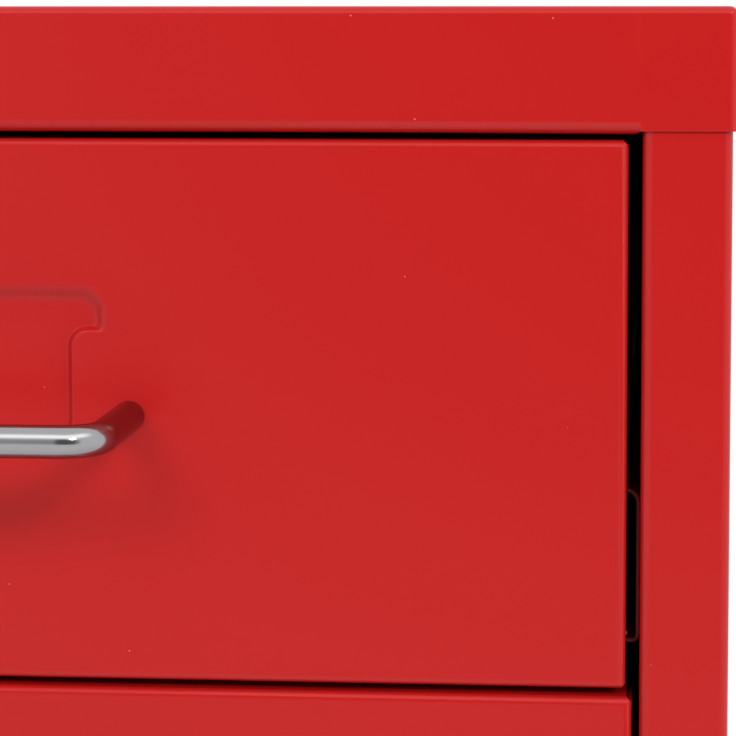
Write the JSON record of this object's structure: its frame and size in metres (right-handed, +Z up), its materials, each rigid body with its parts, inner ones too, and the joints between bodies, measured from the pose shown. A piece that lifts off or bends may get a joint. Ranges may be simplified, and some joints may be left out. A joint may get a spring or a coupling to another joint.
{
  "type": "metal drawer cabinet on castors",
  "caption": "Narrow folded sheet-steel drawer cabinet with a lid-like top, chrome wire handles, pressed label recesses and swivel castors.",
  "frame": {"origin": "on the floor, in the middle of the cabinet and its handles", "axes": "+X to the right seen from the front, +Y to the back, so the drawers pull out along -Y, and +Z up"},
  "size_m": [0.28, 0.4452, 0.69],
  "materials": {
    "powder_coat": "smooth satin red powder coat on steel",
    "chrome": "bright chrome plate on steel wire",
    "zinc_steel": "bright zinc plate on pressed steel",
    "black_plastic": "moulded matt black plastic"
  },
  "bodies": {
    "casing": {"top_cover": "powder_coat", "side_panel_left": "powder_coat", "side_panel_right": "powder_coat", "back_panel": "powder_coat", "base_pan": "powder_coat", "runner_left_1": "powder_coat", "runner_right_1": "powder_coat", "runner_left_2": "powder_coat", "runner_right_2": "powder_coat", "runner_left_3": "powder_coat", "runner_right_3": "powder_coat", "runner_left_4": "powder_coat", "runner_right_4": "powder_coat", "runner_left_5": "powder_coat", "runner_right_5": "powder_coat", "runner_left_6": "powder_coat", "runner_right_6": "powder_coat", "castor_stems": "zinc_steel"},
    "drawer_1": {"drawer_front_1": "powder_coat", "drawer_tray_1": "powder_coat", "drawer_slides_1": "powder_coat", "handle_1": "chrome", "handle_screws_1": "zinc_steel"},
    "drawer_2": {"drawer_front_2": "powder_coat", "drawer_tray_2": "powder_coat", "drawer_slides_2": "powder_coat", "handle_2": "chrome", "handle_screws_2": "zinc_steel"},
    "drawer_3": {"drawer_front_3": "powder_coat", "drawer_tray_3": "powder_coat", "drawer_slides_3": "powder_coat", "handle_3": "chrome", "handle_screws_3": "zinc_steel"},
    "drawer_4": {"drawer_front_4": "powder_coat", "drawer_tray_4": "powder_coat", "drawer_slides_4": "powder_coat", "handle_4": "chrome", "handle_screws_4": "zinc_steel"},
    "drawer_5": {"drawer_front_5": "powder_coat", "drawer_tray_5": "powder_coat", "drawer_slides_5": "powder_coat", "handle_5": "chrome", "handle_screws_5": "zinc_steel"},
    "drawer_6": {"drawer_front_6": "powder_coat", "drawer_tray_6": "powder_coat", "drawer_slides_6": "powder_coat", "handle_6": "chrome", "handle_screws_6": "zinc_steel"},
    "castor_1": {"castor_fork_1": "zinc_steel", "castor_axle_1": "zinc_steel"},
    "wheel_1": {"castor_wheel_1": "black_plastic"},
    "castor_2": {"castor_fork_2": "zinc_steel", "castor_axle_2": "zinc_steel"},
    "wheel_2": {"castor_wheel_2": "black_plastic"},
    "castor_3": {"castor_fork_3": "zinc_steel", "castor_axle_3": "zinc_steel"},
    "wheel_3": {"castor_wheel_3": "black_plastic"},
    "castor_4": {"castor_fork_4": "zinc_steel", "castor_axle_4": "zinc_steel"},
    "wheel_4": {"castor_wheel_4": "black_plastic"}
  },
  "joints": [
    {"name": "drawer_slide_1", "type": "slide", "parent": "casing", "child": "drawer_1", "axis": [0, -1, 0], "range_m": [0, 0.314]},
    {"name": "drawer_slide_2", "type": "slide", "parent": "casing", "child": "drawer_2", "axis": [0, -1, 0], "range_m": [0, 0.314]},
    {"name": "drawer_slide_3", "type": "slide", "parent": "casing", "child": "drawer_3", "axis": [0, -1, 0], "range_m": [0, 0.314]},
    {"name": "drawer_slide_4", "type": "slide", "parent": "casing", "child": "drawer_4", "axis": [0, -1, 0], "range_m": [0, 0.314]},
    {"name": "drawer_slide_5", "type": "slide", "parent": "casing", "child": "drawer_5", "axis": [0, -1, 0], "range_m": [0, 0.314]},
    {"name": "drawer_slide_6", "type": "slide", "parent": "casing", "child": "drawer_6", "axis": [0, -1, 0], "range_m": [0, 0.314]},
    {"name": "castor_swivel_1", "type": "hinge", "parent": "casing", "child": "castor_1", "pos_m": [-0.1015, -0.1499, 0.054], "axis": [0, 0, 1], "continuous": true},
    {"name": "wheel_spin_1", "type": "hinge", "parent": "castor_1", "child": "wheel_1", "pos_m": [-0.1015, -0.1359, 0.02], "axis": [1, 0, 0], "continuous": true},
    {"name": "castor_swivel_2", "type": "hinge", "parent": "casing", "child": "castor_2", "pos_m": [0.1015, -0.1499, 0.054], "axis": [0, 0, 1], "continuous": true},
    {"name": "wheel_spin_2", "type": "hinge", "parent": "castor_2", "child": "wheel_2", "pos_m": [0.1015, -0.1359, 0.02], "axis": [1, 0, 0], "continuous": true},
    {"name": "castor_swivel_3", "type": "hinge", "parent": "casing", "child": "castor_3", "pos_m": [-0.1015, 0.1841, 0.054], "axis": [0, 0, 1], "continuous": true},
    {"name": "wheel_spin_3", "type": "hinge", "parent": "castor_3", "child": "wheel_3", "pos_m": [-0.1015, 0.1981, 0.02], "axis": [1, 0, 0], "continuous": true},
    {"name": "castor_swivel_4", "type": "hinge", "parent": "casing", "child": "castor_4", "pos_m": [0.1015, 0.1841, 0.054], "axis": [0, 0, 1], "continuous": true},
    {"name": "wheel_spin_4", "type": "hinge", "parent": "castor_4", "child": "wheel_4", "pos_m": [0.1015, 0.1981, 0.02], "axis": [1, 0, 0], "continuous": true}
  ]
}
